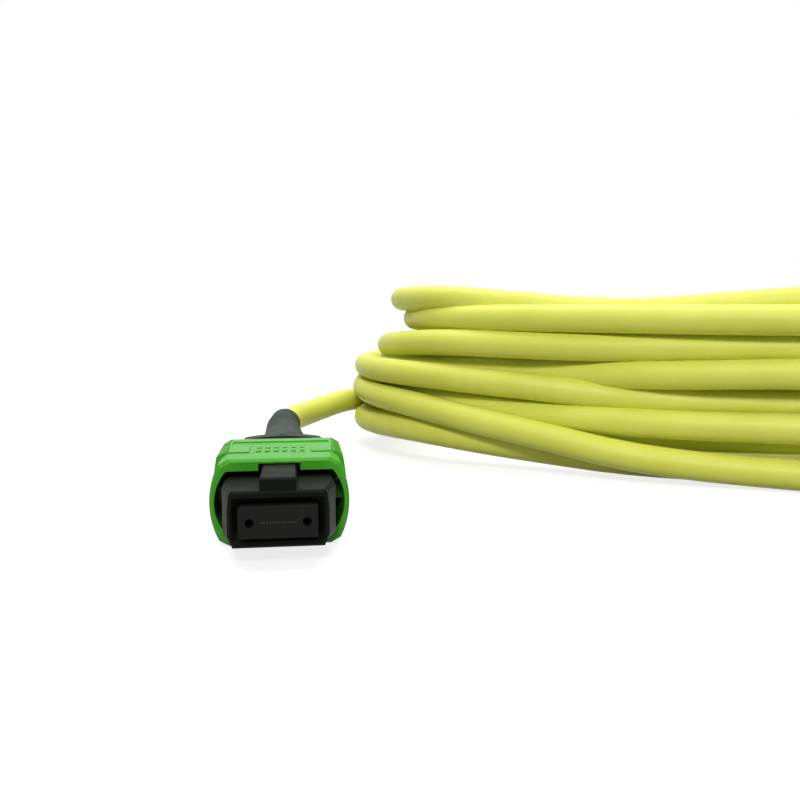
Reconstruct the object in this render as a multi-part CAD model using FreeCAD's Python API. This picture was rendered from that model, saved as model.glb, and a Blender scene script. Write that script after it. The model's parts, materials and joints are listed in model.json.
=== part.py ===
"""MPO fibre connector: a 12-fibre female plug on a coiled round patch cord, with the same plug on its far end.

Millimetres. Each plug is built in its own frame: the ferrule's tip at the origin, the plug's axis along +Y
towards the cable, X across and Z up through the key. The near plug then stands on its sleeve with the middle of
its box over the origin, and the coil lies beside it.
"""
import FreeCAD
import Part
import math
import os

from FreeCAD import Vector

# ---- ferrule -------------------------------------------------------------------------------------------------
ferrule_width = 6.4
ferrule_height = 2.46
ferrule_length = 8.0
ferrule_shoulder_width = 7.1
ferrule_shoulder_height = 3.1
ferrule_shoulder_length = 2.0
ferrule_corner_radius = 0.15
face_angle = 8.0                # angled polish, leaning back towards the key
guide_hole_pitch = 4.6
guide_hole_radius = 0.35
fibre_count = 12
fibre_pitch = 0.25
fibre_radius = 0.0625
fibre_proud = 0.004             # how far a polished fibre stands out of the face
window_width = 3.4
window_length = 2.4
window_to_rear = 2.8            # from the window's rear end to the ferrule's
ribbon_width = 3.1
ribbon_height = 0.3
ribbon_clearance = 0.06
ferrule_boot_width = 3.52
ferrule_boot_height = 1.6
ferrule_boot_length = 4.2
ferrule_boot_depth = 2.0        # how far it sits inside the ferrule
ferrule_boot_clearance = 0.04
keeper_width = 6.6
keeper_height = 2.9
keeper_length = 2.45
keeper_clearance = 0.14
keeper_hole_radius = 0.55
keeper_hole_depth = 1.2
ferrule_travel = 1.0

# ---- inner housing -------------------------------------------------------------------------------------------
nose_setback = 1.25             # ferrule tip to the housing's front face
nose_top_width = 7.7
nose_width = 8.3
nose_bevel = 0.2
housing_end = 22.0
housing_width = 9.6
housing_height = 4.7
housing_corner = 0.35
opening_clearance = 0.12        # ferrule in the front window
opening_bevel = 0.45            # lead-in round the front window
cavity_clearance = 0.1          # ferrule's shoulder in the cavity
cavity_radius = 0.3
key_width = 3.0
key_top_width = 2.75
key_top = 3.39                  # the key's top above the plug's axis
key_setback = 0.2
key_end = 12.0
ramp_start = 2.2                # where the nose starts to widen into the body
ramp_end = 4.7
latch_start = 5.2               # side pockets for an adapter's hooks
latch_length = 3.0
latch_depth = 0.65
latch_height = 3.0
spring_groove_radius = 0.75
spring_groove_start = 11.5
spring_groove_end = 18.0
collar_start = 18.3             # wider rear end that centres the sleeve and stops its springs
collar_clearance = 0.1
snap_window_start = 19.0
snap_window_length = 2.0
snap_window_height = 1.6

# ---- coupling sleeve -----------------------------------------------------------------------------------------
sleeve_start = 7.6
sleeve_length = 15.0
sleeve_width = 12.4
sleeve_height = 7.8
sleeve_flat_front = 9.0
sleeve_flat_rear = 10.3
sleeve_shoulder_width = 10.8
sleeve_shoulder_drop = 0.5
sleeve_front_bevel = 0.25
sleeve_tail_length = 2.6
sleeve_tail_drop = 0.6
sleeve_travel = 2.2
sleeve_side_wall = 0.45
mouth_height = 5.7
mouth_flat_width = 9.4
key_slot_clearance = 0.35
key_slot_top = 3.5
rib_length = 0.8
rib_clearance = 0.05
grip_start = 12.0
grip_pitch = 0.88
grip_count = 9
grip_groove = 0.42
grip_depth = 0.22
grip_inner = 4.95
grip_shoulder_width = 11.7      # the grips' fuller shoulders
grip_shoulder_drop = 0.4
panel_start = 10.8
panel_length = 7.4
panel_width = 9.5
panel_depth = 0.12
pad_middle = 3.8
pad_width = 1.85
pad_start = 11.7
pad_length = 4.3
bar_rows = 2
bars_per_row = 6
bar_width = 0.42
bar_length = 1.35
bar_row_pitch = 2.0

# ---- springs -------------------------------------------------------------------------------------------------
side_spring_radius = 0.52       # to the middle of the wire
side_spring_wire = 0.12
side_spring_turns = 8
main_spring_half_width = 3.22
main_spring_half_height = 1.32
main_spring_wire = 0.22
main_spring_turns = 5
spring_gap = 0.05

# ---- spring push, crimp and boot -----------------------------------------------------------------------------
push_front = 16.5
push_clearance = 0.08
push_bore_width = 4.4
push_bore_height = 1.7
push_flange_length = 2.35
push_flange_width = 9.6
push_flange_height = 5.4
push_seat_clearance = 0.05
hook_proud = 0.6
stub_radius = 2.3
stub_bore_radius = 1.75
stub_groove_count = 5
stub_groove_depth = 0.12
stub_groove_width = 0.3
stub_length = 5.0               # behind the spring push's flange
yarn_gap = 0.8                  # flange to yarn
yarn_thickness = 0.15
crimp_gap = 0.6                 # flange to crimp ring
crimp_wall = 0.35
crimp_large_length = 4.6
crimp_cone_length = 0.8
crimp_neck_length = 3.1
layer_clearance = 0.03
boot_gap = 1.0                  # flange to boot
boot_base_length = 2.0
boot_base_width = 9.0
boot_base_foot = 3.6            # the base's flat underside below the plug's axis
boot_base_side = 3.0            # where its arch springs from, above the axis
boot_base_crown = 3.4
boot_base_corner = 0.7
boot_radii = [3.45, 3.42, 3.34, 3.22, 3.06, 2.86, 2.64, 2.42, 2.24, 2.12]
boot_end = 19.7                 # along the cable from the jacket's end to the boot's end
boot_clearance = 0.06

# ---- cable ---------------------------------------------------------------------------------------------------
cable_diameter = 3.6
cable_gap = 0.6                 # stub to the jacket's end
coil_angle = -29.0              # the coil's long way against the X axis, degrees
coil_left_x = 35.1              # middle of the coil's left end, in the near plug's frame
coil_left_y = 63.0
coil_middles_apart = 70.0
coil_outer_radius = 25.8
coil_inner_radius = 18.4
coil_height = 24.0
coil_edge_radius = 3.0
far_tip_along = 74.1            # in the coil's frame: long way, short way
far_tip_across = 11.4

window_start = ferrule_length - window_to_rear - window_length
push_flange_end = housing_end + push_seat_clearance + push_flange_length
stub_end = push_flange_end + stub_length
yarn_start = push_flange_end + yarn_gap
crimp_start = push_flange_end + crimp_gap
crimp_step = crimp_start + crimp_large_length
crimp_neck_start = crimp_step + crimp_cone_length
crimp_end = crimp_neck_start + crimp_neck_length
boot_base_start = push_flange_end + boot_gap
cable_start = stub_end + cable_gap
side_spring_outer = side_spring_radius + side_spring_wire
# The coupling springs' middle line, just inside the sleeve's side wall.
spring_line_x = sleeve_width / 2 - sleeve_side_wall - spring_gap - side_spring_outer
cable_radius = cable_diameter / 2
axis_height = sleeve_height / 2


def box(x0, x1, y0, y1, z0, z1):
    return Part.makeBox(x1 - x0, y1 - y0, z1 - z0, Vector(x0, y0, z0))


def centred_box(width, y0, y1, height):
    return box(-width / 2, width / 2, y0, y1, -height / 2, height / 2)


def polygon(points, y):
    """A closed outline in the XZ plane at y."""
    corners = [Vector(x, y, z) for x, z in points]
    return Part.makePolygon(corners + corners[:1])


def along_y(outline, length):
    return Part.Face(outline).extrude(Vector(0, length, 0))


def rounded_outline(width, height, radius, y):
    """A rectangle with round corners in the XZ plane."""
    x, z, r = width / 2, height / 2, radius
    k = r * (1 - math.sqrt(0.5))
    edges = []
    corners = [(x, z, -1, -1), (-x, z, 1, -1), (-x, -z, 1, 1), (x, -z, -1, 1)]
    starts = []
    ends = []
    for i, (cx, cz, dx, dz) in enumerate(corners):
        on_side = Vector(cx, y, cz + dz * r)
        on_top = Vector(cx + dx * r, y, cz)
        first, last = (on_side, on_top) if i % 2 == 0 else (on_top, on_side)
        edges.append(Part.Arc(first, Vector(cx + dx * k, y, cz + dz * k), last).toShape())
        starts.append(first)
        ends.append(last)
    for i in range(4):
        gap = starts[(i + 1) % 4] - ends[i]
        if gap.Length > 1e-6:
            edges.append(Part.LineSegment(ends[i], starts[(i + 1) % 4]).toShape())
    return Part.Wire(Part.__sortEdges__(edges))


def rounded_bar(width, height, radius, y0, y1):
    return along_y(rounded_outline(width, height, radius, y0), y1 - y0)


def tube_along_y(outer, inner, y0, y1):
    axis = Vector(0, 1, 0)
    start = Vector(0, y0, 0)
    wall = Part.makeCylinder(outer, y1 - y0, start, axis)
    if inner > 0:
        wall = wall.cut(Part.makeCylinder(inner, y1 - y0, start, axis))
    return wall


def on_both_sides(shape):
    return [shape, shape.mirror(Vector(0, 0, 0), Vector(1, 0, 0))]


def turned(profile):
    """A solid turned about the Y axis from (radius, y) points."""
    points = [Vector(r, y, 0) for r, y in profile]
    face = Part.Face(Part.makePolygon(points + points[:1]))
    return face.revolve(Vector(0, 0, 0), Vector(0, 1, 0), 360)


# ---- cord paths ----------------------------------------------------------------------------------------------

def route_edges(points):
    """Straight runs joined by tangent arcs: each arc is as large as its two runs allow."""
    edges = []
    radii = []
    here = points[0]
    for before, corner, after in zip(points, points[1:], points[2:]):
        back = (before - corner)
        ahead = (after - corner)
        turn = math.pi - back.getAngle(ahead)
        cut = 0.45 * min(back.Length, ahead.Length)
        radius = cut / math.tan(turn / 2)
        start = corner + back.normalize() * cut
        end = corner + ahead.normalize() * cut
        inward = (back + ahead).normalize()
        middle = corner + inward * (radius / math.cos(turn / 2) - radius)
        edges.append(Part.LineSegment(here, start).toShape())
        edges.append(Part.Arc(start, middle, end).toShape())
        radii.append(radius)
        here = end
    edges.append(Part.LineSegment(here, points[-1]).toShape())
    return edges, radii


def sweep_round(edges, radius):
    path = Part.Wire(edges)
    first = edges[0]
    start = first.valueAt(first.FirstParameter)
    heading = first.tangentAt(first.FirstParameter)
    section = Part.Wire(Part.makeCircle(radius, start, heading))
    return path.makePipeShell([section], True, False)


def point_at(edges, distance):
    """The point and the heading at a distance along a path."""
    for edge in edges:
        if distance <= edge.Length or edge is edges[-1]:
            parameter = edge.getParameterByLength(min(distance, edge.Length))
            return edge.valueAt(parameter), edge.tangentAt(parameter)
        distance -= edge.Length


# ---- the plug's pieces ---------------------------------------------------------------------------------------

def polished_cut(proud=0.0):
    """What the angled polish takes off the front of the ferrule."""
    reach = 4.0
    block = box(-reach, reach, -2 * reach, -proud, -reach, reach)
    foot = Vector(0, 0, -ferrule_height / 2)
    block.rotate(foot, Vector(1, 0, 0), -face_angle)
    return block


def guide_holes(y0, y1, radius):
    return [
        Part.makeCylinder(radius, y1 - y0, Vector(side * guide_hole_pitch / 2, y0, 0), Vector(0, 1, 0))
        for side in (-1, 1)
    ]


def fibre_positions():
    first = -(fibre_count - 1) / 2 * fibre_pitch
    return [first + i * fibre_pitch for i in range(fibre_count)]


def mt_ferrule():
    shoulder_start = ferrule_length - ferrule_shoulder_length
    body = rounded_bar(ferrule_width, ferrule_height, ferrule_corner_radius, 0, ferrule_length)
    shoulder = rounded_bar(
        ferrule_shoulder_width, ferrule_shoulder_height, ferrule_corner_radius, shoulder_start,
        ferrule_length,
    )
    body = body.fuse(shoulder).cut(polished_cut())
    body = body.cut(guide_holes(-1, ferrule_length + 1, guide_hole_radius))
    window = box(
        -window_width / 2, window_width / 2, window_start, window_start + window_length,
        -ribbon_height, ferrule_height,
    )
    rear_slot = rounded_bar(
        ferrule_boot_width + 2 * ferrule_boot_clearance, ferrule_boot_height + 2 * ferrule_boot_clearance,
        0.3, ferrule_length - ferrule_boot_depth, ferrule_length + 1,
    )
    ribbon_way = centred_box(
        ribbon_width + 2 * ribbon_clearance, window_start + window_length - 0.1, ferrule_length,
        ribbon_height + 2 * ribbon_clearance,
    )
    body = body.cut([window, rear_slot, ribbon_way])
    bores = [
        Part.makeCylinder(fibre_radius, window_start + 2, Vector(x, -1, 0), Vector(0, 1, 0))
        for x in fibre_positions()
    ]
    return body.cut(bores).removeSplitter()


def fibre_ends():
    fibres = [
        Part.makeCylinder(fibre_radius, window_start + 1, Vector(x, -1, 0), Vector(0, 1, 0))
        for x in fibre_positions()
    ]
    ends = Part.makeCompound(fibres).cut(polished_cut(fibre_proud))
    return Part.makeCompound(ends.Solids)


def window_epoxy():
    return box(
        -window_width / 2, window_width / 2, window_start, window_start + window_length - 0.1,
        -ribbon_height, ferrule_height / 2 - 0.12,
    )


def ferrule_boot():
    start = ferrule_length - ferrule_boot_depth + ferrule_boot_clearance
    end = start + ferrule_boot_length
    block = rounded_bar(ferrule_boot_width, ferrule_boot_height, 0.3, start, end)
    way = centred_box(
        ribbon_width + ribbon_clearance, start - 1, end + 1, ribbon_height + ribbon_clearance
    )
    return block.cut(way)


def keeper_start():
    return ferrule_length + spring_gap


def pin_keeper():
    start = keeper_start()
    end = start + keeper_length
    block = rounded_bar(keeper_width, keeper_height, 0.3, start, end)
    slot = rounded_bar(
        ferrule_boot_width + 2 * keeper_clearance, ferrule_boot_height + 2 * keeper_clearance, 0.4,
        start - 1, end + 1,
    )
    return block.cut([slot] + guide_holes(start - 1, start + keeper_hole_depth, keeper_hole_radius))


def fibre_ribbon():
    start = window_start + window_length
    return centred_box(ribbon_width, start, cable_start - ferrule_travel - 0.4, ribbon_height)


def nose_outline(bevel, y):
    """Upright flanks that bulge a little, with small corners on top and larger ones below."""
    top, x, z = nose_top_width / 2 - bevel, nose_width / 2 - bevel, housing_height / 2 - bevel
    right = [(top, z), (x - 0.15, z - 0.35), (x, 0.8), (x, -1.4), (x - 0.4, -z)]
    return polygon(right + [(-px, pz) for px, pz in reversed(right)], y)


def body_outline(y):
    x, z, c = housing_width / 2, housing_height / 2, housing_corner
    right = [(x - c, z), (x, z - c), (x, 0), (x, c - z), (x - c, -z)]
    return polygon(right + [(-px, pz) for px, pz in reversed(right)], y)


def plug_key():
    front = nose_setback + key_setback
    low, high = key_width / 2, key_top_width / 2
    root = housing_height / 2 - 0.3
    side = polygon([(-low, root), (low, root), (low, key_top - 0.2), (high, key_top),
                    (-high, key_top), (-low, key_top - 0.2)], front)
    key = along_y(side, key_end - front)
    bevel = [
        Vector(-key_width, front - 0.1, key_top - 0.25), Vector(-key_width, front - 0.1, key_top + 0.1),
        Vector(-key_width, front + 0.3, key_top + 0.1),
    ]
    corner = Part.Face(Part.makePolygon(bevel + bevel[:1])).extrude(Vector(2 * key_width, 0, 0))
    return key.cut(corner)


def latch_pocket():
    """One side's pocket, into which an adapter's hook drops once the ramp has lifted it."""
    x = housing_width / 2
    return box(x - latch_depth, x + 1, latch_start, latch_start + latch_length,
               -latch_height / 2, latch_height / 2)


def side_bar(radius, y0, y1):
    """A round bar on the coupling spring's line."""
    return Part.makeCylinder(radius, y1 - y0, Vector(spring_line_x, y0, 0), Vector(0, 1, 0))


def shoulder_stop():
    """Where the ferrule's shoulder stops against the housing."""
    return ferrule_length - ferrule_shoulder_length - 0.02


def inner_housing():
    full_y = nose_setback + nose_bevel
    front = Part.makeLoft([nose_outline(nose_bevel, nose_setback), nose_outline(0, full_y)], True, True)
    nose = along_y(nose_outline(0, full_y), ramp_start - full_y)
    ramps = Part.makeLoft([nose_outline(0, ramp_start), body_outline(ramp_end)], True, True)
    body = along_y(body_outline(ramp_end), housing_end - ramp_end)
    whole = front.fuse([nose, ramps, body, plug_key()])
    collar_way = mouth_height - 2 * collar_clearance
    collar = sleeve_hollow(collar_way, mouth_flat_width, collar_start, housing_end, collar_clearance)
    whole = whole.fuse(collar)
    step = shoulder_stop()
    cuts = [
        window_bevel(),
        rounded_bar(ferrule_width + 2 * opening_clearance, ferrule_height + 2 * opening_clearance,
                    ferrule_corner_radius, nose_setback - 1, step + 0.1),
        rounded_bar(ferrule_shoulder_width + 2 * cavity_clearance, cavity_height(), cavity_radius,
                    step, housing_end + 1),
        centred_box(2 * housing_width, snap_window_start, snap_window_start + snap_window_length,
                    snap_window_height),
    ]
    cuts += on_both_sides(latch_pocket())
    cuts += on_both_sides(side_bar(spring_groove_radius, spring_groove_start, spring_groove_end))
    return whole.cut(cuts).removeSplitter()


def window_bevel():
    """The lead-in round the front window."""
    width = ferrule_width + 2 * opening_clearance
    height = ferrule_height + 2 * opening_clearance
    grown = 2 * opening_bevel
    outer = rounded_outline(width + grown, height + grown, 2 * ferrule_corner_radius, nose_setback)
    inner = rounded_outline(width, height, ferrule_corner_radius, nose_setback + opening_bevel)
    return Part.makeLoft([outer, inner], True, True)


def cavity_height():
    return ferrule_shoulder_height + 4 * cavity_clearance


def sleeve_outline(y, flat, inset=0.0, drop=0.0, shoulder_width=None, shoulder_drop=None):
    """Flat top and bottom, slanted shoulders and bulging sides, drawn in by inset and lowered by drop."""
    x, z = sleeve_width / 2 - inset, sleeve_height / 2 - inset - drop
    f, s = flat / 2 - inset, (shoulder_width or sleeve_shoulder_width) / 2 - inset
    low = z - (shoulder_drop or sleeve_shoulder_drop)
    right = [Vector(f, y, z), Vector(s, y, low), Vector(x, y, 0), Vector(s, y, -low), Vector(f, y, -z)]
    left = [Vector(-p.x, y, p.z) for p in right]
    edges = [
        Part.LineSegment(right[0], right[1]).toShape(),
        Part.Arc(right[1], right[2], right[3]).toShape(),
        Part.LineSegment(right[3], right[4]).toShape(),
        Part.LineSegment(right[4], left[4]).toShape(),
        Part.LineSegment(left[4], left[3]).toShape(),
        Part.Arc(left[3], left[2], left[1]).toShape(),
        Part.LineSegment(left[1], left[0]).toShape(),
        Part.LineSegment(left[0], right[0]).toShape(),
    ]
    return Part.Wire(edges)


def sleeve_shell():
    end = sleeve_start + sleeve_length
    tail_y = end - sleeve_tail_length
    sections = [
        sleeve_outline(sleeve_start, sleeve_flat_front, sleeve_front_bevel),
        sleeve_outline(sleeve_start + sleeve_front_bevel, sleeve_flat_front),
        sleeve_outline(tail_y, sleeve_flat_rear),
        sleeve_outline(end, sleeve_flat_rear, 0.0, sleeve_tail_drop),
    ]
    return Part.makeLoft(sections, True, True)


def sleeve_hollow(height, flat, y0, y1, inset=0.0):
    """The hollow's section: flat above and below, its sides a wall's thickness inside the outer ones."""
    inner = sleeve_width / 2 - sleeve_side_wall - inset
    z, f = height / 2, flat / 2
    edges = [
        Part.LineSegment(Vector(-f, y0, z), Vector(f, y0, z)).toShape(),
        Part.Arc(Vector(f, y0, z), Vector(inner, y0, 0), Vector(f, y0, -z)).toShape(),
        Part.LineSegment(Vector(f, y0, -z), Vector(-f, y0, -z)).toShape(),
        Part.Arc(Vector(-f, y0, -z), Vector(-inner, y0, 0), Vector(-f, y0, z)).toShape(),
    ]
    return along_y(Part.Wire(edges), y1 - y0)


def spring_rib():
    """The inner rib that pushes a coupling spring and stops in the front end of its groove."""
    y0 = spring_groove_start + rib_clearance
    radius = spring_groove_radius - 2 * rib_clearance
    wall = sleeve_width / 2 - sleeve_side_wall / 2
    bridge = box(spring_line_x, wall, y0, y0 + rib_length, -radius, radius)
    return side_bar(radius, y0, y0 + rib_length).fuse(bridge)


def grip_pads():
    """The fuller shoulders on both sides, into which the grip grooves are cut."""
    start = grip_start - (grip_pitch - grip_groove)
    outline = sleeve_outline(start, sleeve_flat_rear, 0.0, 0.0, grip_shoulder_width, grip_shoulder_drop)
    whole = along_y(outline, grip_count * grip_pitch + grip_start - start)
    return whole.cut(centred_box(2 * grip_inner, start - 1, grip_start + sleeve_length, 2 * sleeve_height))


def grip_grooves():
    """Grooves across the sides and shoulders, with a floor that follows the outline."""
    core = along_y(sleeve_outline(sleeve_start, sleeve_flat_rear, grip_depth), sleeve_length)
    grooves = []
    for i in range(grip_count):
        y0 = grip_start + i * grip_pitch
        slab = box(grip_inner, sleeve_width, y0, y0 + grip_groove, -sleeve_height, sleeve_height)
        grooves += on_both_sides(slab.cut(core))
    return grooves


def top_panel():
    """The shallow panel on top, with two smooth pads and two rows of plain bars left standing in it."""
    top = sleeve_height / 2
    floor = top - panel_depth
    half = panel_width / 2
    recess = box(-half, half, panel_start, panel_start + panel_length, floor, top + 1)
    pad_inner = pad_middle - pad_width / 2
    pads = on_both_sides(box(pad_inner, half, pad_start, pad_start + pad_length, floor, top + 1))
    bars = []
    step = 2 * pad_inner / (bars_per_row + 1)
    for row in range(bar_rows):
        y0 = pad_start + (pad_length - bar_row_pitch - bar_length) / 2 + row * bar_row_pitch
        for i in range(bars_per_row):
            x0 = -pad_inner + (i + 1) * step - bar_width / 2
            bars.append(box(x0, x0 + bar_width, y0, y0 + bar_length, floor, top + 1))
    return recess.cut(pads + bars)


def coupling_sleeve():
    end = sleeve_start + sleeve_length
    slot_half = key_width / 2 + key_slot_clearance
    cuts = [
        sleeve_hollow(mouth_height, mouth_flat_width, sleeve_start - 1, end + 1),
        box(-slot_half, slot_half, sleeve_start - 1, end + 1, 0, key_slot_top),
        top_panel(),
    ]
    shell = sleeve_shell().fuse(grip_pads()).cut(cuts + grip_grooves())
    return shell.fuse(on_both_sides(spring_rib())).removeSplitter()


def wound_spring(half_x, half_z, wire, y0, y1, turns, per_turn, sides, middle_x=0.0):
    """Wire wound along Y on an oval or round form, between y0 and y1, with a section of a few flats."""
    count = int(per_turn * turns)
    length = y1 - y0 - 2 * wire
    sections = []
    for i in range(count + 1):
        angle = 2 * math.pi * i / per_turn
        out = Vector(math.cos(angle) / half_x, 0, math.sin(angle) / half_z).normalize()
        middle = Vector(
            middle_x + half_x * math.cos(angle), y0 + wire + length * i / count,
            half_z * math.sin(angle),
        )
        corners = []
        for k in range(sides):
            around = 2 * math.pi * (k + 0.5) / sides
            corners.append(middle + out * (wire * math.cos(around))
                           + Vector(0, wire * math.sin(around), 0))
        sections.append(Part.makePolygon(corners + corners[:1]))
    return Part.makeLoft(sections, True, True)


def coupling_spring(side):
    """Between the sleeve's rib and the rear end of the housing's groove."""
    start = spring_groove_start + rib_clearance + rib_length + spring_gap
    return wound_spring(side_spring_radius, side_spring_radius, side_spring_wire, start,
                        spring_groove_end - spring_gap, side_spring_turns, 8, 4, side * spring_line_x)


def ferrule_spring():
    start = keeper_start() + keeper_length + spring_gap
    return wound_spring(main_spring_half_width, main_spring_half_height, main_spring_wire, start,
                        push_front - spring_gap, main_spring_turns, 12, 6)


def snap_hook():
    """One tooth that drops into the housing's side window."""
    x = ferrule_shoulder_width / 2 + cavity_clearance - push_clearance
    y0 = snap_window_start + push_clearance
    y1 = snap_window_start + snap_window_length - push_clearance
    z = snap_window_height / 2 - push_clearance
    points = [Vector(x - 0.3, y0, -z), Vector(x, y0, -z), Vector(x + hook_proud, y1, -z),
              Vector(x - 0.3, y1, -z)]
    return Part.Face(Part.makePolygon(points + points[:1])).extrude(Vector(0, 0, 2 * z))


def spring_push():
    flange_start = push_flange_end - push_flange_length
    flange_end = push_flange_end
    front = rounded_bar(ferrule_shoulder_width + 2 * (cavity_clearance - push_clearance),
                        cavity_height() - 2 * push_clearance, cavity_radius, push_front, flange_start)
    flange = rounded_bar(push_flange_width, push_flange_height, 0.8, flange_start, flange_end)
    stub = tube_along_y(stub_radius, 0, flange_end, stub_end)
    body = front.fuse([flange, stub] + on_both_sides(snap_hook()))
    cuts = [
        rounded_bar(push_bore_width, push_bore_height, 0.6, push_front - 1, flange_start),
        tube_along_y(stub_bore_radius, 0, flange_start - 0.1, stub_end + 1),
    ]
    pitch = (stub_end - flange_end) / (stub_groove_count + 1)
    for i in range(stub_groove_count):
        y0 = flange_end + (i + 1) * pitch - stub_groove_width / 2
        cuts.append(tube_along_y(stub_radius + 1, stub_radius - stub_groove_depth, y0,
                                 y0 + stub_groove_width))
    return body.cut(cuts).removeSplitter()


def yarn_inner():
    return stub_radius + layer_clearance


def crimp_inner():
    return yarn_inner() + yarn_thickness + layer_clearance


def aramid_yarn():
    return tube_along_y(yarn_inner() + yarn_thickness, yarn_inner(), yarn_start, stub_end - 0.1)


def crimp_ring():
    """A ring over the yarn that steps down to a neck on the jacket."""
    neck = cable_radius + layer_clearance
    inner = crimp_inner()
    return turned([
        (inner, crimp_start), (inner + crimp_wall, crimp_start), (inner + crimp_wall, crimp_step),
        (neck + crimp_wall, crimp_neck_start), (neck + crimp_wall, crimp_end), (neck, crimp_end),
        (neck, crimp_neck_start), (inner, crimp_step),
    ])


def boot_spine(edges):
    """Round sections along the cable, from inside the base to the small end."""
    start = boot_base_start + boot_base_length / 2 - cable_start
    sections = []
    for i, radius in enumerate(boot_radii):
        s = start + (boot_end - start) * i / (len(boot_radii) - 1)
        if s < 0:
            point, heading = Vector(0, cable_start + s, 0), Vector(0, 1, 0)
        else:
            point, heading = point_at(edges, s)
        sections.append(Part.Wire(Part.makeCircle(radius, point, heading)))
    return Part.makeLoft(sections, True, True)


def boot_base():
    """The base against the spring push: flat below, upright sides and a low arch on top."""
    x, y = boot_base_width / 2, boot_base_start
    low, side, crown = -boot_base_foot, boot_base_side, boot_base_crown
    outline = Part.Wire([
        Part.LineSegment(Vector(-x, y, low), Vector(x, y, low)).toShape(),
        Part.LineSegment(Vector(x, y, low), Vector(x, y, side)).toShape(),
        Part.Arc(Vector(x, y, side), Vector(0, y, crown), Vector(-x, y, side)).toShape(),
        Part.LineSegment(Vector(-x, y, side), Vector(-x, y, low)).toShape(),
    ])
    base = along_y(outline, boot_base_length)
    corners = [e for e in base.Edges if e.BoundBox.YLength > boot_base_length / 2]
    return base.makeFillet(boot_base_corner, corners)


def strain_relief_boot(edges):
    """An arched base against the spring push, then a slim body that follows the cable."""
    ring_way = crimp_inner() + crimp_wall + boot_clearance
    neck_way = cable_radius + layer_clearance + crimp_wall + boot_clearance
    cuts = [
        turned([
            (0, boot_base_start - 1), (ring_way, boot_base_start - 1), (ring_way, crimp_step),
            (neck_way, crimp_neck_start), (neck_way, crimp_end + boot_clearance),
            (0, crimp_end + boot_clearance),
        ]),
        sweep_round(edges, cable_radius + boot_clearance),
    ]
    return boot_base().fuse(boot_spine(edges)).cut(cuts).removeSplitter()


def plug(edges):
    """Every piece of one plug, in the plug's own frame, with the cable path that its boot follows."""
    return {
        "coupling_sleeve": coupling_sleeve(),
        "coupling_spring_left": coupling_spring(-1),
        "coupling_spring_right": coupling_spring(1),
        "inner_housing": inner_housing(),
        "mt_ferrule": mt_ferrule(),
        "fibre_ends": fibre_ends(),
        "window_epoxy": window_epoxy(),
        "ferrule_boot": ferrule_boot(),
        "pin_keeper": pin_keeper(),
        "ferrule_spring": ferrule_spring(),
        "spring_push": spring_push(),
        "fibre_ribbon": fibre_ribbon(),
        "aramid_yarn": aramid_yarn(),
        "crimp_ring": crimp_ring(),
        "strain_relief_boot": strain_relief_boot(edges),
    }


# ---- the cord ------------------------------------------------------------------------------------------------

# From the jacket's end inside the near plug to the coil, in the near plug's frame.
lead_route = [
    Vector(0, cable_start, 0),
    Vector(0, 40.5, 0),
    Vector(-0.5, 49.5, 1.95),
    Vector(4.3, 60.3, 2.3),
    Vector(10.2, 69.2, 3.3),
    Vector(18.0, 78.6, 2.4),
]
# From the coil to the far plug, in the coil's frame, heights above the surface it lies on.
tail_route = [
    Vector(-20.6, -7.0, 4.6),
    Vector(-18.6, 3.2, 4.6),
    Vector(-11.6, 12.2, 4.6),
    Vector(-1.0, 16.2, 4.5),
    Vector(10.0, 15.0, 4.2),
    Vector(28.5, 11.4, 3.9),
]


def coil_placement():
    turn = FreeCAD.Rotation(Vector(0, 0, 1), coil_angle)
    return FreeCAD.Placement(Vector(coil_left_x, coil_left_y, -axis_height), turn)


def far_placement():
    """The far plug's own frame, set in the near plug's: it lies along the coil's long way, facing outward."""
    in_coil = FreeCAD.Placement(
        Vector(far_tip_along, far_tip_across, axis_height), FreeCAD.Rotation(Vector(0, 0, 1), 90)
    )
    return coil_placement().multiply(in_coil)


def tail_points():
    """The tail in the far plug's frame, from its jacket's end back to the coil."""
    to_far = far_placement().inverse().multiply(coil_placement())
    return [Vector(0, cable_start, 0)] + [to_far.multVec(p) for p in reversed(tail_route)]


def stadium(radius, y0, y1):
    """A long round-ended slab that stands on end discs coil_middles_apart from each other."""
    length = y1 - y0
    up = Vector(0, 0, 1)
    slab = Part.makeBox(coil_middles_apart, 2 * radius, length, Vector(0, -radius, y0))
    discs = [Part.makeCylinder(radius, length, Vector(x, 0, y0), up) for x in (0, coil_middles_apart)]
    return slab.fuse(discs).removeSplitter()


def cable_coil():
    """The outer shape of the wound turns: a round-ended ring with rounded outer edges."""
    outside = stadium(coil_outer_radius, 0, coil_height)
    top_edges = [e for e in outside.Edges if e.BoundBox.ZMin > coil_height - 0.01]
    outside = outside.makeFillet(coil_edge_radius, top_edges)
    return outside.cut(stadium(coil_inner_radius, -1, coil_height + 1))


def moved(shape, placement):
    copy = shape.copy()
    copy.Placement = placement.multiply(copy.Placement)
    return copy


def report_cord(name, edges, radii, solid):
    length = sum(e.Length for e in edges)
    section = math.pi * cable_radius ** 2
    print(name, "length %.1f" % length, "radii", [round(r, 1) for r in radii],
          "volume ratio %.4f" % (solid.Volume / (section * length)))


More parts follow.
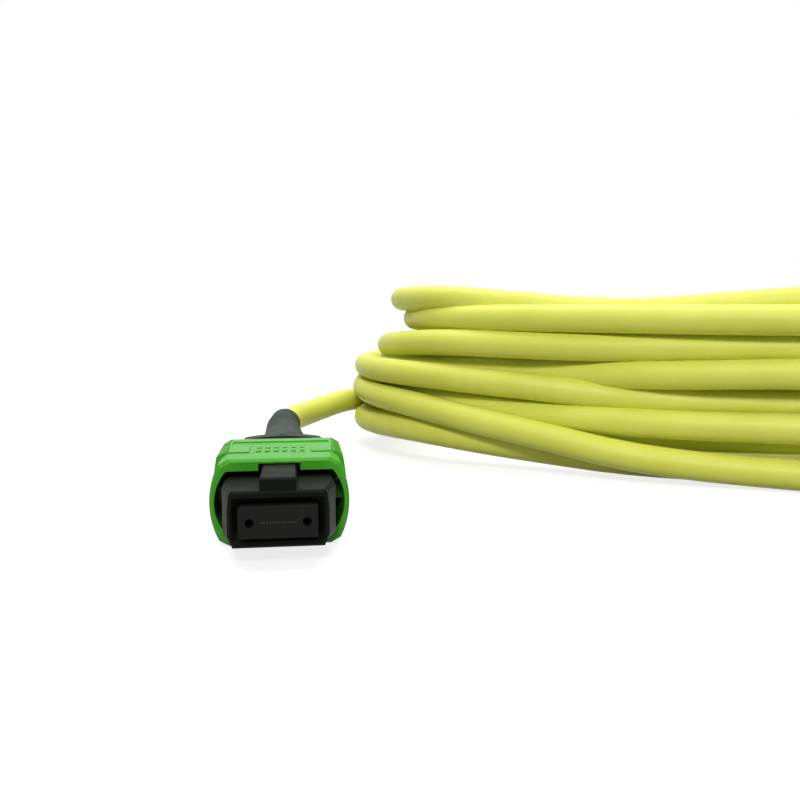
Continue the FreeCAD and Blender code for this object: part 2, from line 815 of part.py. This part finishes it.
def model():
    lead_edges, lead_radii = route_edges(lead_route)
    tail_edges, tail_radii = route_edges(tail_points())
    near = plug(lead_edges)
    pieces = dict(near)
    pieces["cable_lead"] = sweep_round(lead_edges, cable_radius)
    pieces["cable_coil"] = moved(cable_coil(), coil_placement())
    far = plug(tail_edges)
    far["cable_tail"] = sweep_round(tail_edges, cable_radius)
    report_cord("lead", lead_edges, lead_radii, pieces["cable_lead"])
    report_cord("tail", tail_edges, tail_radii, far["cable_tail"])
    for name, shape in far.items():
        pieces["far_" + name] = moved(shape, far_placement())
    plug_end = near["strain_relief_boot"].optimalBoundingBox().YMax
    stand = FreeCAD.Placement(Vector(0, -plug_end / 2, axis_height), FreeCAD.Rotation())
    return {name: moved(shape, stand) for name, shape in pieces.items()}


os.makedirs("parts", exist_ok=True)
for node, shape in model().items():
    shape.exportStep("parts/%s.step" % node)
    box_of = shape.BoundBox
    print("%-28s solids %d valid %s volume %.2f  z %.2f..%.2f" % (
        node, len(shape.Solids), shape.isValid(), shape.Volume, box_of.ZMin, box_of.ZMax))
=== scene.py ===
"""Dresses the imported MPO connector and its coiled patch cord: camera, cord, materials, springs, stage and light.

Lengths are millimetres unless a comment says otherwise. A plug's own frame has its ferrule's tip at the origin,
its axis along +Y towards the cable and Z up through the key. The coil's frame has the middle of the coil's left
end at the origin, on the surface, and X along the coil. Angles round the coil are degrees in its frame.
plug_point() and coil_point() set such points in the row frame, in metres.
"""
import json
import math

import bpy
from mathutils import Euler, Matrix, Vector


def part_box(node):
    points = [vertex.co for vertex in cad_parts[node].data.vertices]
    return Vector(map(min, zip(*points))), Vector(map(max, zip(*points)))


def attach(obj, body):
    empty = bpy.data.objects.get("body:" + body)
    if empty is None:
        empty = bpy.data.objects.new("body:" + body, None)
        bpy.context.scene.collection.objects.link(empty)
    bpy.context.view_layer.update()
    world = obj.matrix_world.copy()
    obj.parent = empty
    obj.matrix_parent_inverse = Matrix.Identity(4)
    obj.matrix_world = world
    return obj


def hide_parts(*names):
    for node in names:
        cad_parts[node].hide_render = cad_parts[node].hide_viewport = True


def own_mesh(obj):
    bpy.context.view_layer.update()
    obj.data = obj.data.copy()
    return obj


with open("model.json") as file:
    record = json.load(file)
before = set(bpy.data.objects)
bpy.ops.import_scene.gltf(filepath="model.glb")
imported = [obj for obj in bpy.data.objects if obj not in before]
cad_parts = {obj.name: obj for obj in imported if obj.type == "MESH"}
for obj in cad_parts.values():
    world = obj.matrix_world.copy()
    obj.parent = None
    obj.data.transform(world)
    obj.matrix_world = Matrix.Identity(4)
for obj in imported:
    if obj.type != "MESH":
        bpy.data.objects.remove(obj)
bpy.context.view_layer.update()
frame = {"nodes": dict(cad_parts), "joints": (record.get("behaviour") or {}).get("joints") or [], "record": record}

MM = 0.001
ROOT = "plug_body"
AXIS_HEIGHT = 3.9               # of the near plug's axis over the surface
NOSE_SETBACK = 1.25             # ferrule tip to the housing's front face
FRAME_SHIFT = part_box("inner_housing")[0][1] / MM - NOSE_SETBACK
CABLE_DIAMETER = 3.6
COIL_LEFT = Vector((35.1, 63.0, 0.0))   # the coil's origin in the near plug's frame
COIL_ANGLE = math.radians(-29.0)
COIL_REACH = 70.0               # between the middles of the coil's round ends
COIL_RADIUS = 24.0              # to the middle of the outer turns

CAMERA_PLACE = (1.58, -63.13, 15.94)    # in the near plug's frame
CAMERA_TURN = (84.41, 0.09, -7.42)      # degrees
SENSOR_WIDTH = 36.0
FOCAL_LENGTH = 36.0


def plug_point(x, y, z):
    """A point of the near plug's frame in the row frame."""
    return Vector((x, y + FRAME_SHIFT, z + AXIS_HEIGHT)) * MM


def coil_point(along, across, height):
    """A point of the coil's frame in the row frame."""
    turned = Matrix.Rotation(COIL_ANGLE, 3, "Z") @ Vector((along, across, 0.0))
    place = turned + COIL_LEFT
    return plug_point(place.x, place.y, height - AXIS_HEIGHT)


def add_object(name, data):
    thing = bpy.data.objects.new(name, data)
    bpy.context.collection.objects.link(thing)
    return thing


def make_camera():
    data = bpy.data.cameras.new("camera")
    data.lens = FOCAL_LENGTH
    data.sensor_width = SENSOR_WIDTH
    data.clip_start = 0.001
    data.clip_end = 10.0
    camera = add_object("camera", data)
    camera.location = plug_point(*CAMERA_PLACE)
    camera.rotation_euler = Euler([math.radians(a) for a in CAMERA_TURN])
    bpy.context.scene.camera = camera


# ---- cord ----------------------------------------------------------------------------------------------------

# The lead's route from the jacket's end inside the boot to the coil, in the near plug's frame.
LEAD = [
    (0.0, 30.0, 0.0),
    (0.0, 40.5, 0.0),
    (-0.5, 49.5, 1.95),
    (4.3, 60.3, 2.3),
    (10.2, 69.2, 3.3),
    (18.0, 78.6, 2.4),
]
# The tail's route from the coil to the far plug's jacket end, in the coil's frame.
TAIL = [
    (-17.3, -7.1, 4.6),
    (-18.3, 1.2, 4.6),
    (-15.4, 9.1, 4.6),
    (-9.1, 14.6, 4.6),
    (-0.9, 16.5, 4.5),
    (10.0, 15.0, 4.2),
    (28.5, 11.4, 3.9),
    (44.1, 11.4, 3.9),
]
# One row for each turn, from the floor up and then down inside: (height, outward shift) at the stations (the far
# side's middle, the right end, three along the near side, the left shoulder and the left tip), then how far the
# turn's left end is shifted to the right.
TURNS = [
    ((6.8, 0.0), (4.6, -2.8), (2.0, -3.7), (1.85, -1.9), (2.9, -1.7), (5.0, -0.4), (4.6, 0.0), 1.4),
    ((3.2, 0.0), (1.85, 0.2), (1.85, 0.0), (2.8, 1.8), (5.3, 1.6), (8.6, 0.5), (10.4, 0.0), 1.6),
    ((10.2, -0.3), (8.4, 0.0), (7.4, 0.2), (7.2, 0.3), (7.6, -1.0), (9.4, -2.9), (11.6, -3.4), 1.2),
    ((13.6, 0.0), (12.3, -0.6), (9.9, -2.9), (9.7, -2.2), (11.3, -0.2), (12.7, 0.2), (13.2, 0.0), 1.8),
    ((14.9, -3.4), (14.9, -1.0), (13.9, 0.5), (13.1, -0.4), (13.1, -3.0), (13.4, -3.8), (13.2, -3.6), 1.5),
    ((17.2, 0.0), (17.9, -0.4), (16.6, -2.0), (16.5, -1.6), (16.6, -0.3), (17.1, -0.2), (15.8, 0.0), 5.6),
    ((20.5, 0.0), (21.2, 0.0), (19.9, 0.4), (20.1, 0.0), (20.15, 0.0), (20.3, -0.3), (20.5, 0.0), 10.0),
    ((21.8, -3.5), (22.6, -3.4), (22.3, -2.5), (20.9, -3.7), (21.2, -3.7), (23.0, -2.6), (23.6, -1.5), 6.0),
    ((18.4, -3.9), (14.2, -4.2), (13.0, -4.0), (16.4, -4.9), (16.9, -4.9), (15.0, -5.0), (8.2, -5.0), 1.5),
    ((6.5, -3.8), (3.6, -5.6), (4.0, -6.4), (5.0, -5.4), (5.2, -5.2), (4.6, -5.4), (4.6, -5.4), 0.0),
]
TIP, TIP_SHIFT = 6, 7           # where a row holds the left tip's station and the left end's shift
NEAR_STATIONS = (42.0, 24.0, 9.6)   # along the near side; points up to the last one belong to the left end
END_STEP = 22.5                 # degrees between the points round a coil's end

# The stations as (along, angle), after the left tip that the turn comes from.
STATIONS = [(0.0, 180.0), (COIL_REACH / 2, 90.0), (COIL_REACH, 0.0)]
STATIONS += [(along, -90.0) for along in NEAR_STATIONS]
STATIONS += [(0.0, -90.0 - END_STEP), (0.0, -180.0)]


def loop_places():
    """(along, angle) of the points of one turn, clockwise from the left tip round to the left tip."""
    half_turn = [i * END_STEP for i in range(9)]
    quarter_turn = half_turn[:5]
    left_far = [(0.0, 180.0 - a) for a in quarter_turn[1:]]
    far = [(COIL_REACH / 3, 90.0), (2 * COIL_REACH / 3, 90.0)]
    right = [(COIL_REACH, 90.0 - a) for a in half_turn]
    near = [(along, -90.0) for along in (0.8 * COIL_REACH, *NEAR_STATIONS)]
    left_near = [(0.0, -90.0 - a) for a in quarter_turn]
    return left_far + far + right + near + left_near


def distance_round(along, angle):
    """How far a place lies round the turn from the left tip."""
    straight = along if angle > -90.0 else 2 * COIL_REACH - along
    return math.radians(180.0 - angle) * COIL_RADIUS + straight


def turn_points(before, turn):
    """One turn's control points, blended from the stations of its row and the tip of the row before."""
    marks = [distance_round(*station) for station in STATIONS]
    levels = [before[TIP], *turn[:TIP + 1]]
    points = []
    for along, angle in loop_places():
        way = distance_round(along, angle)
        i = max(n for n in range(len(marks) - 1) if marks[n] <= way + 1e-9)
        share = (way - marks[i]) / (marks[i + 1] - marks[i])
        height, out = (a + share * (b - a) for a, b in zip(levels[i], levels[i + 1]))
        radius = COIL_RADIUS + out
        if angle not in (90.0, -90.0):
            # control points round an end stand out, so that the curve between them keeps the radius
            radius /= math.cos(math.radians(END_STEP / 2))
        shift = 0.0
        if along <= NEAR_STATIONS[-1]:
            shift = before[TIP_SHIFT] if angle > 0.0 else turn[TIP_SHIFT]
        turned = math.radians(angle)
        points.append((along + shift + radius * math.cos(turned), radius * math.sin(turned), height))
    return points


def cord_points():
    """All control points of the cord in the row frame, from the near plug to the far one."""
    line = []
    for before, turn in zip([TURNS[0], *TURNS], TURNS):
        line += turn_points(before, turn)
    line = line[1:-2] + TAIL    # the lead runs in after the first point, the tail off before the last two
    return [plug_point(*p) for p in LEAD] + [coil_point(*p) for p in line]


def make_cord():
    data = bpy.data.curves.new("patch_cord", "CURVE")
    data.dimensions = "3D"
    data.resolution_u = 4
    data.bevel_depth = 1.0      # times each point's radius
    data.bevel_resolution = 5
    data.use_fill_caps = True
    points = cord_points()
    spline = data.splines.new("NURBS")
    spline.points.add(len(points) - 1)
    for slot, point in zip(spline.points, points):
        slot.co = (*point, 1.0)
        slot.radius = CABLE_DIAMETER / 2 * MM
    spline.order_u = 3
    spline.use_endpoint_u = True
    cord = add_object("patch_cord", data)
    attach(cord, ROOT)
    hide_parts("cable_lead", "cable_coil", "far_cable_tail")
    return cord


# ---- materials -----------------------------------------------------------------------------------------------

NOISE_RANGE = (0.3, 0.7)        # nearly all of a noise texture's values
UNEVEN_GLOSS = 0.06             # how far a plastic's roughness strays from its mean

# Moulded plastics: dark and light colour, roughness, the grain's scale and depth, scatter and shine.
PLASTICS = {
    "sleeve_green": ((64, 161, 28), (72, 169, 36), 0.4, 9000.0, 0.012, 0.0, 0.22),
    "housing_black": ((14, 17, 13), (18, 21, 16), 0.5, 8000.0, 0.012, 0.0, 0.05),
    "ferrule_black": ((17, 19, 16), (21, 23, 19), 0.55, 14000.0, 0.006, 0.0, 0.1),
    "fibre_glass": ((36, 40, 40), (52, 57, 57), 0.3, 9000.0, 0.001, 0.0, 0.3),
    "epoxy_amber": ((62, 46, 20), (78, 58, 26), 0.3, 4000.0, 0.004, 0.2, 0.3),
    "seal_rubber": ((26, 26, 26), (32, 32, 31), 0.7, 9000.0, 0.01, 0.0, 0.2),
    "push_black": ((18, 20, 18), (23, 25, 22), 0.5, 8000.0, 0.012, 0.0, 0.2),
    "ribbon_clear": ((190, 205, 195), (205, 218, 208), 0.3, 3000.0, 0.006, 0.4, 0.5),
    "aramid_yellow": ((205, 176, 78), (226, 198, 104), 0.75, 12000.0, 0.05, 0.0, 0.5),
    "boot_grey": ((35, 43, 39), (41, 49, 44), 0.6, 7000.0, 0.02, 0.0, 0.15),
}
# Metals: colour, roughness and the mottle's scale.
METALS = {
    "spring_steel": ((205, 205, 200), 0.28, 900.0),
    "keeper_metal": ((190, 190, 188), 0.35, 700.0),
    "crimp_metal": ((214, 214, 212), 0.32, 600.0),
}
BEVELLED = ("coupling_sleeve", "far_coupling_sleeve", "inner_housing", "far_inner_housing")
EDGE_WIDTH = 0.08
EDGE_ANGLE = 35.0               # degrees; blunter edges stay as they are


def linear(colour):
    """An sRGB colour, 0 to 255, as linear values."""
    def one(c):
        c /= 255.0
        return c / 12.92 if c <= 0.04045 else ((c + 0.055) / 1.055) ** 2.4
    return (*(one(c) for c in colour), 1.0)


class Nodes:
    """The node tree of a new material or world, with short calls."""

    def __init__(self, owner):
        owner.use_nodes = True
        self.owner = owner
        self.tree = owner.node_tree
        self.shader = self.tree.nodes.get("Principled BSDF")    # a world has none

    def add(self, kind, **values):
        node = self.tree.nodes.new(kind)
        for key, value in values.items():
            if key in node.inputs:
                node.inputs[key].default_value = value
            else:
                setattr(node, key, value)
        return node

    def link(self, start, end):
        self.tree.links.new(start, end)

    def shade(self, values):
        for key, value in values.items():
            self.shader.inputs[key].default_value = value

    def noise(self, scale, detail=3.0):
        place = self.add("ShaderNodeNewGeometry")
        noise = self.add("ShaderNodeTexNoise", Scale=scale, Detail=detail, Roughness=0.5)
        self.link(place.outputs["Position"], noise.inputs["Vector"])
        return noise.outputs["Fac"]

    def spread(self, value, source, target):
        """The value with its source range stretched to the target range."""
        ramp = self.add("ShaderNodeMapRange")
        for end, first, last in (("Min", source[0], target[0]), ("Max", source[1], target[1])):
            ramp.inputs["From " + end].default_value = first
            ramp.inputs["To " + end].default_value = last
        self.link(value, ramp.inputs["Value"])
        return ramp.outputs["Result"]

    def mottle(self, value, dark, light):
        mix = self.add("ShaderNodeMix", data_type="RGBA")
        mix.inputs[6].default_value = linear(dark)
        mix.inputs[7].default_value = linear(light)
        self.link(self.spread(value, NOISE_RANGE, (0.0, 1.0)), mix.inputs[0])
        self.link(mix.outputs[2], self.shader.inputs["Base Color"])

    def gloss(self, value, rough, uneven):
        target = (rough - uneven, rough + uneven)
        self.link(self.spread(value, NOISE_RANGE, target), self.shader.inputs["Roughness"])

    def bump(self, value, depth):
        bump = self.add("ShaderNodeBump", Strength=1.0, Distance=depth * MM)
        self.link(value, bump.inputs["Height"])
        self.link(bump.outputs["Normal"], self.shader.inputs["Normal"])


def moulded(name, dark, light, rough, grain_scale, grain_depth, scatter, shine):
    """Moulded plastic: a faint mottle, uneven gloss and a fine spark-eroded grain."""
    nodes = Nodes(bpy.data.materials.new(name))
    nodes.mottle(nodes.noise(260.0, 4.0), dark, light)
    nodes.gloss(nodes.noise(520.0), rough, UNEVEN_GLOSS)
    nodes.bump(nodes.noise(grain_scale, 2.0), grain_depth)
    nodes.shade({"Specular IOR Level": shine})
    if scatter:
        nodes.shade({"Subsurface Weight": scatter, "Subsurface Radius": (0.4, 1.0, 0.3),
                     "Subsurface Scale": 0.6 * MM})
    return nodes.owner


def metal(name, colour, rough, scale):
    nodes = Nodes(bpy.data.materials.new(name))
    nodes.shade({"Metallic": 1.0})
    nodes.mottle(nodes.noise(scale), [int(0.85 * c) for c in colour], colour)
    nodes.gloss(nodes.noise(3 * scale), rough, 0.08)
    nodes.bump(nodes.noise(8 * scale, 2.0), 0.01)
    return nodes.owner


def jacket():
    """The cord's soft plastic: as a moulded one, but coarser and with more light inside it."""
    nodes = Nodes(bpy.data.materials.new("jacket_lime"))
    nodes.mottle(nodes.noise(140.0, 4.0), (214, 217, 86), (222, 225, 98))
    nodes.gloss(nodes.noise(400.0), 0.48, UNEVEN_GLOSS)
    nodes.bump(nodes.noise(2600.0, 3.0), 0.012)
    nodes.shade({"Specular IOR Level": 0.3, "Subsurface Weight": 0.2, "Subsurface Radius": (1.0, 1.0, 0.3),
                 "Subsurface Scale": 0.5 * MM})
    return nodes.owner


def dress_cad():
    """Gives each material slot's look to the CAD nodes that use it, and soft edges to the four shells."""
    looks = {name: moulded(name, *values) for name, values in PLASTICS.items()}
    looks.update({name: metal(name, *values) for name, values in METALS.items()})
    slots = {part["node"]: part["material_slot"] for part in frame["record"]["subparts"]}
    for name, node in frame["nodes"].items():
        if slots[name] in looks:    # the cord stands for the nodes of the jacket's slot
            for slot in node.material_slots:
                slot.material = looks[slots[name]]
    for name in BEVELLED:
        edge = frame["nodes"][name].modifiers.new("edge", "BEVEL")
        edge.width = EDGE_WIDTH * MM
        edge.segments = 2
        edge.limit_method = "ANGLE"
        edge.angle_limit = math.radians(EDGE_ANGLE)


def shorten_springs():
    """Gives each wire spring that a joint deforms a mesh of its own."""
    for joint in frame["joints"]:
        for deforming in joint["deforming_nodes"]:
            spring = frame["nodes"][deforming["node"]]
            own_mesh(spring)


# ---- stage and light, in metres ------------------------------------------------------------------------------

WHITE = (1.0, 1.0, 1.0, 1.0)
FLOOR_REACH = 3.0
FLOOR_GREY = (0.35, 0.35, 0.35, 1.0)
GLOW_DISTANCES, GLOW_STRENGTHS = (0.15, 0.5), (0.8, 1.0)    # the floor's glow rises away from the part
WORLD_STRENGTH = 0.2
PART_MIDDLE = (0.04, 0.02, 0.01)
# Each softbox: place, size and power in watts; both aim at the part's middle.
SOFTBOXES = {
    "top_softbox": ((0.02, 0.12, 0.45), 0.5, 2.4),
    "front_fill": ((-0.2, -0.5, 0.25), 0.4, 0.1),
}
SPOT_PLACE, SPOT_AIM = (-0.04, -0.33, 0.26), (0.064, 0.03, 0.012)
SPOT_POWER = 4.3
SPOT_CONE = 30.0                # degrees


def seen_directly(nodes):
    """1 for rays that come from the camera, straight or by way of gloss or glass."""
    path = nodes.add("ShaderNodeLightPath")
    first = nodes.add("ShaderNodeMath", operation="MAXIMUM")
    second = nodes.add("ShaderNodeMath", operation="MAXIMUM")
    nodes.link(path.outputs["Is Camera Ray"], first.inputs[0])
    nodes.link(path.outputs["Is Glossy Ray"], first.inputs[1])
    nodes.link(first.outputs[0], second.inputs[0])
    nodes.link(path.outputs["Is Transmission Ray"], second.inputs[1])
    return second.outputs[0]


def show(nodes, plain, seen, output):
    """Sends plain to the output, and seen in its place where seen_directly() says so."""
    mix = nodes.add("ShaderNodeMixShader")
    nodes.link(seen_directly(nodes), mix.inputs[0])
    nodes.link(plain.outputs[0], mix.inputs[1])
    nodes.link(seen.outputs[0], mix.inputs[2])
    nodes.link(mix.outputs[0], nodes.tree.nodes[output].inputs["Surface"])


def make_floor():
    """A wide pale floor that is nearly white where it is lit and keeps a soft shadow."""
    data = bpy.data.meshes.new("floor")
    corners = [(x * FLOOR_REACH, y * FLOOR_REACH, 0.0) for x, y in ((-1, -1), (1, -1), (1, 1), (-1, 1))]
    data.from_pydata(corners, [], [(0, 1, 2, 3)])
    floor = add_object("floor", data)
    floor.location.z = -0.02 * MM
    nodes = Nodes(bpy.data.materials.new("floor"))
    nodes.shade({"Base Color": FLOOR_GREY, "Roughness": 0.9, "Specular IOR Level": 0.0})
    glow = nodes.add("ShaderNodeEmission", Color=WHITE)
    place = nodes.add("ShaderNodeNewGeometry")
    away = nodes.add("ShaderNodeVectorMath", operation="LENGTH")
    nodes.link(place.outputs["Position"], away.inputs[0])
    nodes.link(nodes.spread(away.outputs["Value"], GLOW_DISTANCES, GLOW_STRENGTHS), glow.inputs["Strength"])
    both = nodes.add("ShaderNodeAddShader")
    nodes.link(nodes.shader.outputs[0], both.inputs[0])
    nodes.link(glow.outputs[0], both.inputs[1])
    show(nodes, nodes.shader, both, "Material Output")
    data.materials.append(nodes.owner)


def make_world():
    """A dim white light all round that is plain white to the camera."""
    nodes = Nodes(bpy.data.worlds.new("studio"))
    bpy.context.scene.world = nodes.owner
    dim = nodes.tree.nodes["Background"]
    dim.inputs["Color"].default_value = WHITE
    dim.inputs["Strength"].default_value = WORLD_STRENGTH
    white = nodes.add("ShaderNodeBackground", Color=WHITE, Strength=1.0)
    show(nodes, dim, white, "World Output")


def add_lamp(name, kind, place, aim, power):
    data = bpy.data.lights.new(name, kind)
    data.energy = power
    lamp = add_object(name, data)
    lamp.location = place
    lamp.rotation_euler = (Vector(aim) - Vector(place)).to_track_quat("-Z", "Y").to_euler()
    return data


def make_lights():
    for name, (place, size, power) in SOFTBOXES.items():
        softbox = add_lamp(name, "AREA", place, PART_MIDDLE, power)
        softbox.shape = "SQUARE"
        softbox.size = size
    spot = add_lamp("coil_spot", "SPOT", SPOT_PLACE, SPOT_AIM, SPOT_POWER)
    spot.shadow_soft_size = 0.05
    spot.spot_size = math.radians(SPOT_CONE)
    spot.spot_blend = 0.8


bpy.context.scene.view_settings.view_transform = "Standard"
make_camera()
cord = make_cord()
cord.data.materials.append(jacket())
dress_cad()
shorten_springs()
make_floor()
make_world()
make_lights()

bpy.context.view_layer.update()
